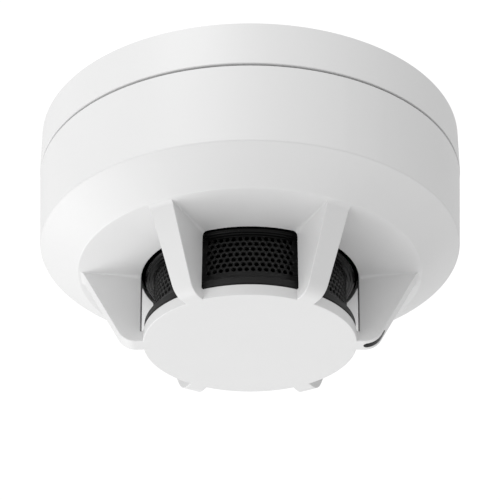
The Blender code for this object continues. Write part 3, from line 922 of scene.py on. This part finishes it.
class DETECTOR_OT_cover(bpy.types.Operator):
    """Builds the outer cover with its six fins, the flat cap and the light pipe's channel"""

    bl_idname = "detector.cover"
    bl_label = "Outer cover"

    def execute(self, context):
        mesh = cover_mesh(settings().cover)
        lens = placed(lens_mesh("lens_channel", 0.06, 0.8, PIPE_THICK + 0.1, 0.0), PIPE_AZIMUTH)
        stem = placed(stem_mesh("stem_channel", 0.15, -51.6, -33.0, 0.0), PIPE_AZIMUTH)
        for tool in (lens, stem):
            mesh = cut(mesh, tool)
        keys = repeated(
            KEY_AZIMUTHS, lambda: block("key", (46.4, -KEY_HALF, -20.0), (48.6, KEY_HALF, -15.0), 0.3),
        )
        piece("outer_cover_shell", joined("cover", [mesh, *keys]), "cover_white", "cover", "outer_cover")
        return {"FINISHED"}


class DETECTOR_OT_indicator(bpy.types.Operator):
    """Builds the smoked light pipe in its fin and the small lamp above it"""

    bl_idname = "detector.indicator"
    bl_label = "Indicator"

    def execute(self, context):
        lens = lens_mesh("lens", 0.0, 0.03, PIPE_THICK - 0.05, 0.12)
        stem = stem_mesh("stem", 0.0, -51.0, PIPE_TOP_Z, 0.15)
        pipe = placed(joined("pipe", [lens, stem]), PIPE_AZIMUTH)
        piece("light_pipe", pipe, "smoked_lens", "cover", "indicator_light_pipe")
        top = BOARD_LOW - 0.3
        profile = (
            (0.0, top), (1.5, top, 0.1), (1.5, top - 0.8, 0.1), (1.35, top - 0.8, 0.05),
            (1.35, top - 3.3), (1.1, top - 4.0, 0.5), (0.6, top - 4.45, 0.5), (0.0, top - 4.6),
        )
        lamp = turned("lamp", softened(profile), 32)
        middle = PIPE_STEM_R + PIPE_THICK / 2.0
        piece("indicator_lamp", placed(lamp, PIPE_AZIMUTH, middle), "led_clear", "head", "indicator_led")
        return {"FINISHED"}


# ---------------------------------------------------------------- mounting base


def base_mesh():
    wall_in = BASE_R - BASE_WALL
    profile = (
        (CABLE_HOLE_R, 0.0, 0.4), (BASE_R, 0.0, 0.12), (BASE_R, SHADOW_GAP_TOP, 0.2),
        (wall_in, SHADOW_GAP_TOP, 0.3), (wall_in, -BASE_PLATE, 0.8), (COLLAR_R, -BASE_PLATE, 0.6),
        (COLLAR_R, COLLAR_LOW, 0.4), (CABLE_HOLE_R, COLLAR_LOW, 0.4),
    )
    mesh = turned("base", softened(profile, True, math.radians(22.0)), 180, True)
    outline = stadium(SLOT_LENGTH, SLOT_WIDTH)
    slots = repeated(SLOT_AZIMUTHS, lambda: extruded("slot", outline, -BASE_PLATE - 1.0, 1.0), SLOT_CENTRE_R)
    mesh = cut(mesh, joined("slots", slots))
    added = repeated(
        TERMINAL_AZIMUTHS, lambda: block("pad", (22.0, -5.5, -5.0), (33.0, 5.5, -BASE_PLATE + 0.6), 0.35),
    )
    for azimuth in LEDGE_AZIMUTHS:
        last = LUG_HALF_SPAN + 3.9
        middle = azimuth + (last - 9.0) / 2.0
        added.append(ring_part("ledge", LEDGE_R, wall_in + 0.8, middle, (last + 9.0) / 2.0, -8.4, -6.6))
        added.append(ring_part("stop", LEDGE_R + 0.5, wall_in + 0.4, azimuth + last - 2.05, 1.45, -7.8, -4.4))
    return joined("base", [mesh, *added])


class DETECTOR_OT_base(bpy.types.Operator):
    """Builds the mounting base with its cable collar, fixing slots, terminal pads and bayonet ledges"""

    bl_idname = "detector.base"
    bl_label = "Mounting base"

    def execute(self, context):
        piece("mounting_base", base_mesh(), "base_white", "base", "base_moulding")
        return {"FINISHED"}


class DETECTOR_OT_contacts(bpy.types.Operator):
    """Builds the terminal springs of the base and the standing blades of the head"""

    bl_idname = "detector.contacts"
    bl_label = "Contacts"

    def execute(self, context):
        leaf = (
            (22.6, -5.3, 0.1), (22.6, -6.1, 0.1), (32.7, -6.1, 1.0), (35.7, -6.9, 1.0), (40.0, -6.9, 0.1),
            (40.0, -6.1, 0.1), (36.0, -6.1, 1.0), (33.0, -5.3, 1.0),
        )
        blade = (
            (33.6, -12.1, 0.1), (40.2, -12.1, 0.1), (40.2, -11.3, 0.1), (38.6, -11.3, 0.2),
            (38.6, -7.6, 0.35), (38.2, -7.2, 0.25), (35.0, -7.2, 0.25), (34.6, -7.6, 0.2),
            (34.6, -8.0, 0.1), (37.8, -8.0, 0.2), (37.8, -11.3, 0.2), (33.6, -11.3, 0.1),
        )
        for number, azimuth in enumerate(TERMINAL_AZIMUTHS, start=1):
            at = math.radians(azimuth)
            spring = plate_along("spring", softened(leaf, True), 9.0, 0.08)
            hole = placed(rod("hole", 1.9, -8.0, -4.0), math.pi / 2.0, TERMINAL_R)
            spring = placed(cut(spring, hole), at)
            name = "terminal_spring_%d" % number
            piece(name, spring, "contact_brass", "base", "terminal_contact_%d" % number)
            stand = placed(plate_along("stand", softened(blade, True), 7.0, 0.08), at)
            piece("head_blade_%d" % number, stand, "contact_brass", "head", "head_contact_%d" % number)
        return {"FINISHED"}


def screw_mesh(name, shank_r, top, under_head, head_r, head_low, slot_half, slot_depth):
    """Slotted pan-head screw pointing up, with a threaded shank."""
    pitch = 0.7
    turns = int((top - under_head - 0.6) / pitch)
    thread = []
    for i in range(turns):
        z = top - 0.5 - i * pitch
        thread += [(shank_r, z), (shank_r - 0.22, z - pitch / 2.0)]
    profile = [
        (0.0, top), (shank_r - 0.35, top), *thread, (shank_r, under_head), (head_r, under_head, 0.15),
        (head_r, head_low + 0.9, 0.4), (head_r - 0.7, head_low, 0.5), (0.0, head_low),
    ]
    mesh = turned(name, softened(profile), 40)
    reach = head_r + 1.0
    slot = block("slot", (-reach, -slot_half, head_low - 1.0), (reach, slot_half, head_low + slot_depth), 0.0)
    return cut(mesh, slot)


class DETECTOR_OT_fasteners(bpy.types.Operator):
    """Builds the terminal screws with their clamp washers and the board's screws"""

    bl_idname = "detector.fasteners"
    bl_label = "Screws and washers"

    def execute(self, context):
        for number, azimuth in enumerate(TERMINAL_AZIMUTHS, start=1):
            at = math.radians(azimuth)
            screw = screw_mesh("screw", 1.6, -1.4, -7.7, 3.4, -9.7, 0.45, 0.8)
            name = "clamp_screw_%d" % number
            piece(name, placed(screw, at, TERMINAL_R), "nickel_steel", "base", "terminal_screw_%d" % number)
            washer = extruded("washer", square(4.2, 0.7), -7.4, -6.4, 0.15)
            washer = cut(washer, rod("hole", 1.9, -9.0, -5.0))
            name = "square_washer_%d" % number
            piece(name, placed(washer, at, TERMINAL_R), "nickel_steel", "base", "clamp_washer_%d" % number)
        for number, azimuth in enumerate(POST_AZIMUTHS, start=1):
            screw = screw_mesh("screw", 1.1, -16.0, -22.3, 2.6, -24.0, 0.35, 0.7)
            placed(screw, math.radians(azimuth), POST_CENTRE_R)
            piece("fixing_screw_%d" % number, screw, "nickel_steel", "head", "board_screw_%d" % number)
        return {"FINISHED"}


# ---------------------------------------------------------------- head chassis and circuit board


def chassis_mesh():
    plate_low = CHASSIS_TOP - CHASSIS_PLATE
    skirt_in = CHASSIS_R - SKIRT_WALL
    profile = (
        (0.0, CHASSIS_TOP), (CHASSIS_R, CHASSIS_TOP, 0.5), (CHASSIS_R, SKIRT_LOW, 0.3),
        (skirt_in, SKIRT_LOW, 0.3), (skirt_in, plate_low, 0.6), (0.0, plate_low),
    )
    mesh = turned("chassis", softened(profile, False, math.radians(22.0)), 144)
    half = KEY_HALF + 0.4
    notches = repeated(
        KEY_AZIMUTHS, lambda: block("notch", (43.0, -half, -25.0), (52.0, half, plate_low - 0.2), 0.0),
    )
    mesh = cut(mesh, joined("notches", notches))
    added = []
    for azimuth in LEDGE_AZIMUTHS:
        added.append(ring_part("post", 41.8, 44.2, azimuth, LUG_HALF_SPAN, CHASSIS_TOP - 0.5, -4.4, 0.25))
        added.append(ring_part("hook", 43.2, 47.6, azimuth, LUG_HALF_SPAN - 0.5, -6.3, -4.7, 0.25))
    pillar = ((1.4, plate_low + 0.5), (3.0, plate_low + 0.5), (3.0, -20.1, 0.3), (1.4, -20.1, 0.2))
    outline = softened(pillar, True)
    pillars = repeated(POST_AZIMUTHS, lambda: turned("pillar", outline, 40, True), POST_CENTRE_R)
    return joined("chassis", [mesh, *added, *pillars])


def chip_mesh():
    """Square flat package with a bent lead at every pitch along its four sides."""
    body = extruded("body", square(CHIP_HALF, 0.4), CHIP_LOW, BOARD_LOW - 0.45, 0.2)
    dimple = rod("dimple", 0.45, CHIP_LOW - 0.5, CHIP_LOW + 0.12)
    dimple.transform(Matrix.Translation((-3.0 * MM, -3.0 * MM, 0.0)))
    parts = [cut(body, dimple)]
    path = (
        (3.7, -23.05, 0.0), (4.4, -23.05, 0.15), (4.55, -22.45, 0.15), (5.0, -22.45, 0.0),
        (5.0, -22.3, 0.0), (4.4, -22.3, 0.15), (4.25, -22.9, 0.15), (3.7, -22.9, 0.0),
    )
    for side in range(4):
        for i in range(LEADS_A_SIDE):
            lead = plate_along("lead", softened(path, True, math.radians(30.0)), LEAD_WIDTH)
            across = (i - (LEADS_A_SIDE - 1) / 2.0) * LEAD_PITCH * MM
            lead.transform(Matrix.Translation((0.0, across, 0.0)))
            lead.transform(Matrix.Rotation(side * math.pi / 2.0, 4, "Z"))
            parts.append(lead)
    return placed(joined("chip", parts), math.radians(CHIP_PLACE[0]), CHIP_PLACE[1])


def capacitor_mesh():
    """Rolled aluminium can with a crimped bead and a scored vent."""
    profile = (
        (0.0, -22.3), (2.9, -22.3, 0.15), (3.15, -22.6, 0.15), (3.15, -23.3, 0.2), (2.8, -23.6, 0.25),
        (3.15, -23.9, 0.2), (3.15, -29.5, 0.45), (2.55, -29.6, 0.15), (2.45, -29.45, 0.1), (0.0, -29.45),
    )
    mesh = turned("can", softened(profile), 48)
    for azimuth in (0.0, 60.0, 120.0):
        score = block("score", (-1.6, -0.09, -30.5), (1.6, 0.09, -29.38), 0.0)
        score.transform(Matrix.Rotation(math.radians(azimuth), 4, "Z"))
        mesh = cut(mesh, score)
    return placed(mesh, math.radians(CAPACITOR_PLACE[0]), CAPACITOR_PLACE[1])


class DETECTOR_OT_head(bpy.types.Operator):
    """Builds the head chassis, the circuit board and the parts on it"""

    bl_idname = "detector.head"
    bl_label = "Chassis and board"

    def execute(self, context):
        piece("head_frame", chassis_mesh(), "chassis_white", "head", "head_chassis")
        profile = ((0.0, BOARD_TOP), (BOARD_R, BOARD_TOP, 0.15), (BOARD_R, BOARD_LOW, 0.15), (0.0, BOARD_LOW))
        board = turned("board", softened(profile), 128)
        holes = repeated(POST_AZIMUTHS, lambda: rod("hole", 1.6, -23.0, -19.0), POST_CENTRE_R)
        board = cut(board, joined("holes", holes))
        piece("printed_board", board, "board_green", "head", "circuit_board")
        piece("controller", chip_mesh(), "chip_black", "head", "controller_chip")
        piece("round_capacitor", capacitor_mesh(), "can_silver", "head", "filter_capacitor")
        return {"FINISHED"}


# ---------------------------------------------------------------- optical chamber


def carrier_mesh():
    """Cup that holds the chamber, with a stepped glossy flange around the screen's top."""
    profile = (
        (0.0, -37.2), (20.9, -37.2), (20.9, CARRIER_TOP, 0.3), (26.5, CARRIER_TOP, 0.3), (26.5, -24.0, 0.3),
        (SCREEN_R, -24.0, 0.5), (SCREEN_R, -36.7, 0.3), (FLANGE_R, -36.9, 0.2), (FLANGE_R, -37.45, 0.2),
        (24.1, -37.6, 0.12), (23.95, -37.85, 0.12), (23.5, -37.9, 0.12), (23.35, -38.1, 0.12),
        (22.75, -38.15, 0.12), (22.6, -38.3, 0.1), (21.6, -38.3), (21.6, -38.0), (0.0, -38.0),
    )
    return turned("carrier", softened(profile), 144)


def baffle_mesh():
    disc = ((0.0, -38.9), (21.0, -38.9, 0.2), (21.0, -40.0, 0.2), (0.0, -40.0))
    parts = [turned("disc", softened(disc), 96)]
    for index in range(BAFFLE_COUNT):
        outline = softened(
            ((-2.6, -0.35, 0.3), (2.6, -0.5, 0.45), (2.6, 0.5, 0.45), (-2.6, 0.35, 0.3)), True,
        )
        vane = extruded("vane", outline, -49.4, -39.6, 0.15)
        vane.transform(Matrix.Rotation(math.radians(BAFFLE_TWIST), 4, "Z"))
        parts.append(placed(vane, math.radians(15.0) + index * TURN / BAFFLE_COUNT, BAFFLE_R))
    holder = placed(block("holder", (7.6, -3.8, -48.4), (11.7, 3.8, -39.6), 0.3), 0.0)
    bore = rod("bore", 2.8, -15.0, -5.0)
    bore.transform(Matrix.Rotation(math.pi / 2.0, 4, "X"))
    bore.transform(Matrix.Translation((0.0, -20.0 * MM, OPTICS_Z * MM)))
    parts.append(cut(holder, bore))
    return joined("baffles", parts)


def emitter_mesh():
    """Clear round-nosed emitter lying along the chamber's front axis."""
    profile = (
        (0.0, 0.0), (2.9, 0.0, 0.15), (2.9, -1.0, 0.15), (2.5, -1.0, 0.05), (2.5, -5.0, 1.0),
        (1.8, -6.6, 1.2), (0.9, -7.35, 1.0), (0.0, -7.5),
    )
    return placed(laid_along_x(turned("emitter", softened(profile), 40), 13.0, OPTICS_Z), 0.0)


def receiver_mesh():
    body = block("body", (7.0, -2.4, -47.0), (10.2, 2.4, -42.2), 0.25)
    window = laid_along_x(rod("window", 1.6, -0.35, 0.0, 0.15), 6.95, OPTICS_Z)
    return placed(joined("receiver", [body, window]), math.radians(RECEIVER_AZIMUTH))


def shield_mesh():
    shell = block("shell", (5.4, -3.3, -47.9), (11.3, 3.3, -40.3), 0.35)
    for tool in (
        block("pocket", (6.0, -2.9, -47.4), (10.8, 2.9, -39.8), 0.0),
        block("aperture", (4.0, -1.6, -46.2), (7.0, 1.6, -43.0), 0.0),
    ):
        shell = cut(shell, tool)
    return placed(shell, math.radians(RECEIVER_AZIMUTH))


class DETECTOR_OT_chamber(bpy.types.Operator):
    """Builds the chamber's carrier, its light baffles, the emitter and the shielded receiver"""

    bl_idname = "detector.chamber"
    bl_label = "Optical chamber"

    def execute(self, context):
        piece("chamber_cup", carrier_mesh(), "chamber_black", "head", "chamber_carrier")
        piece("baffle_ring", baffle_mesh(), "chamber_black", "head", "light_baffles")
        piece("emitter", emitter_mesh(), "led_clear", "head", "infrared_emitter")
        piece("receiver", receiver_mesh(), "chip_black", "head", "photodiode")
        piece("shield_can", shield_mesh(), "can_silver", "head", "receiver_shield")
        return {"FINISHED"}


def brick(work, azimuth, half, top, low, radius):
    """Cell of the perforated wall with one six-sided opening, which subdivision turns round."""
    middle = (top + low) / 2.0
    sides = ((-1, low), (0, low), (1, low), (1, top), (0, top), (-1, top))
    outer = [work.verts.new(polar(SCREEN_R, azimuth + half * side, z)) for side, z in sides]
    inner = []
    for index in range(6):
        angle = math.radians(-150.0 + 60.0 * index)
        across = radius * math.cos(angle) / SCREEN_R
        inner.append(work.verts.new(polar(SCREEN_R, azimuth + across, middle + radius * math.sin(angle))))
    for i in range(6):
        j = (i + 1) % 6
        work.faces.new((outer[i], outer[j], inner[j], inner[i]))


def perforated_mesh(sizes):
    """Wall of the insect screen with staggered rows of openings in each smoke window."""
    work = bmesh.new()
    half = TURN / PITCHES_AROUND / 2.0
    columns = PITCHES_AROUND // FIN_COUNT
    height = sizes.row_pitch / MM
    radius = sizes.hole_width / MM / 2.0 * 1.1
    for sector in range(FIN_COUNT):
        centre = sector * SECTOR
        for row in range(sizes.rows):
            top = MESH_TOP - row * height
            low = top - height
            holes = sizes.holes_per_window - row % 2
            for index in range(holes):
                brick(work, centre + (2 * index - holes + 1) * half, half, top, low, radius)
            for column in range(holes, columns):
                for side in (-1, 1):
                    near = centre + side * column * half
                    far = near + side * half
                    corners = ((near, top), (far, top), (far, low), (near, low))
                    work.faces.new([work.verts.new(polar(SCREEN_R, a, z)) for a, z in corners])
    return finished(work, "perforated_wall")


def lip_mesh():
    """Floor and bead of the screen, below its perforated wall."""
    top = MESH_TOP - 9.0
    inside = SCREEN_R - MESH_WALL
    profile = (
        (0.0, -50.7), (inside, -50.7), (inside, top), (SCREEN_R - 0.04, top), (SCREEN_R, -48.7, 0.3),
        (22.8, LIP_TOP, 0.3), (LIP_R, LIP_TOP, 0.35), (LIP_R, LIP_LOW, 0.35), (22.8, LIP_LOW, 0.1),
        (22.8, SCREEN_LOW, 0.2), (0.0, SCREEN_LOW),
    )
    return turned("lip", softened(profile), 144)


class DETECTOR_OT_screen(bpy.types.Operator):
    """Builds the insect screen around the chamber"""

    bl_idname = "detector.screen"
    bl_label = "Insect screen"

    def execute(self, context):
        mesh = perforated_mesh(settings().screen)
        wall = piece("perforated_wall", mesh, "screen_black", "head", "insect_screen")
        thick = wall.modifiers.new("Thickness", "SOLIDIFY")
        thick.thickness = MESH_WALL * MM
        thick.offset = -1.0
        smooth = wall.modifiers.new("Round openings", "SUBSURF")
        smooth.levels = 1
        smooth.render_levels = 1
        piece("screen_lip", lip_mesh(), "screen_black", "head")
        return {"FINISHED"}


class DETECTOR_OT_finishes(bpy.types.Operator):
    """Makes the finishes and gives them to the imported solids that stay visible"""

    bl_idname = "detector.finishes"
    bl_label = "Finishes"

    def execute(self, context):
        made = make_materials()
        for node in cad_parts.values():
            for slot in node.material_slots:
                slot.material = made[slot.material.name]
        return {"FINISHED"}


def area_lamp(name, azimuth, height, power):
    """Round lamp aimed at the detector from an azimuth and a height, both in degrees."""
    across = math.cos(math.radians(height)) * LAMP_DISTANCE
    away = Vector((math.sin(math.radians(azimuth)) * across, -math.cos(math.radians(azimuth)) * across, 0.0))
    away.z = math.sin(math.radians(height)) * LAMP_DISTANCE
    data = bpy.data.lights.new(name, "AREA")
    data.shape = "DISK"
    data.size = LAMP_SIZE
    data.energy = power
    lamp = linked(name, data)
    lamp.location = Vector(AIM) + away
    lamp.rotation_euler = away.to_track_quat("Z", "Y").to_euler()


class DETECTOR_OT_stage(bpy.types.Operator):
    """Sets up the camera, the floor, the even surround and the soft lamps"""

    bl_idname = "detector.stage"
    bl_label = "Stage"

    def execute(self, context):
        stage = settings().stage
        scene = context.scene
        scene.view_settings.view_transform = "Standard"
        camera_data = bpy.data.cameras.new("camera")
        camera_data.lens = stage.focal_length
        camera_data.sensor_width = SENSOR_WIDTH
        camera = linked("camera", camera_data)
        camera.location = (0.0, -stage.camera_distance, -stage.camera_drop)
        camera.rotation_euler = (math.pi / 2.0 + stage.camera_pitch, 0.0, 0.0)
        scene.camera = camera
        self.make_surround(scene, stage.ambient)
        self.make_floor()
        for name, azimuth, height in LAMP_PLACES:
            area_lamp(name, azimuth, height, getattr(stage, name))
        return {"FINISHED"}

    def make_surround(self, scene, ambient):
        """Even light on the detector, and plain white behind it."""
        world = bpy.data.worlds.new("surround")
        scene.world = world
        world.use_nodes = True
        tree = world.node_tree
        tree.nodes.clear()
        output = tree.nodes.new("ShaderNodeOutputWorld")
        mix = tree.nodes.new("ShaderNodeMixShader")
        path = tree.nodes.new("ShaderNodeLightPath")
        tree.links.new(path.outputs["Is Camera Ray"], mix.inputs["Fac"])
        for socket, strength in ((mix.inputs[1], ambient), (mix.inputs[2], BACKDROP_STRENGTH)):
            white = tree.nodes.new("ShaderNodeBackground")
            white.inputs["Color"].default_value = (1.0, 1.0, 1.0, 1.0)
            white.inputs["Strength"].default_value = strength
            tree.links.new(white.outputs[0], socket)
        tree.links.new(mix.outputs[0], output.inputs["Surface"])

    def make_floor(self):
        work = bmesh.new()
        bmesh.ops.create_circle(work, cap_ends=True, segments=96, radius=FLOOR_RADIUS)
        floor = linked("floor", as_mesh(work, "floor"))
        floor.location = (0.0, 0.0, FLOOR_Z)
        material = bpy.data.materials.new("floor_paint")
        material.use_nodes = True
        shader = material.node_tree.nodes["Principled BSDF"]
        shader.inputs["Base Color"].default_value = FLOOR_COLOUR
        shader.inputs["Roughness"].default_value = FLOOR_ROUGHNESS
        floor.data.materials.append(material)


class DetectorSettings(bpy.types.PropertyGroup):
    """All settings of the smoke detector"""

    cover: bpy.props.PointerProperty(name="Cover", description="Outer cover sizes", type=CoverSettings)
    screen: bpy.props.PointerProperty(name="Screen", description="Insect screen sizes", type=ScreenSettings)
    finish: bpy.props.PointerProperty(name="Finish", description="Colours", type=FinishSettings)
    stage: bpy.props.PointerProperty(name="Stage", description="Camera and light", type=StageSettings)


OPERATORS = (
    DETECTOR_OT_finishes, DETECTOR_OT_cover, DETECTOR_OT_indicator, DETECTOR_OT_screen, DETECTOR_OT_chamber,
    DETECTOR_OT_head, DETECTOR_OT_base, DETECTOR_OT_contacts, DETECTOR_OT_fasteners, DETECTOR_OT_stage,
)


class DETECTOR_PT_panel(bpy.types.Panel):
    """Lists the settings and the operators"""

    bl_idname = "DETECTOR_PT_panel"
    bl_label = "Smoke Detector"
    bl_space_type = "VIEW_3D"
    bl_region_type = "UI"
    bl_category = "Smoke Detector"

    def draw(self, context):
        detector = context.scene.smoke_detector
        for group in (detector.cover, detector.screen, detector.finish, detector.stage):
            box = self.layout.box()
            for name in group.bl_rna.properties.keys():
                if name not in ("name", "rna_type"):
                    box.prop(group, name)
        for operator in OPERATORS:
            self.layout.operator(operator.bl_idname)


CLASSES = (
    CoverSettings, ScreenSettings, FinishSettings, StageSettings, DetectorSettings, *OPERATORS,
    DETECTOR_PT_panel,
)


def register():
    for item in CLASSES:
        bpy.utils.register_class(item)
    bpy.types.Scene.smoke_detector = bpy.props.PointerProperty(type=DetectorSettings)


def unregister():
    del bpy.types.Scene.smoke_detector
    for item in reversed(CLASSES):
        bpy.utils.unregister_class(item)


def main():
    register()
    for operator in OPERATORS:
        getattr(bpy.ops.detector, operator.bl_idname.split(".")[1])()


if __name__ == "__main__":
    main()
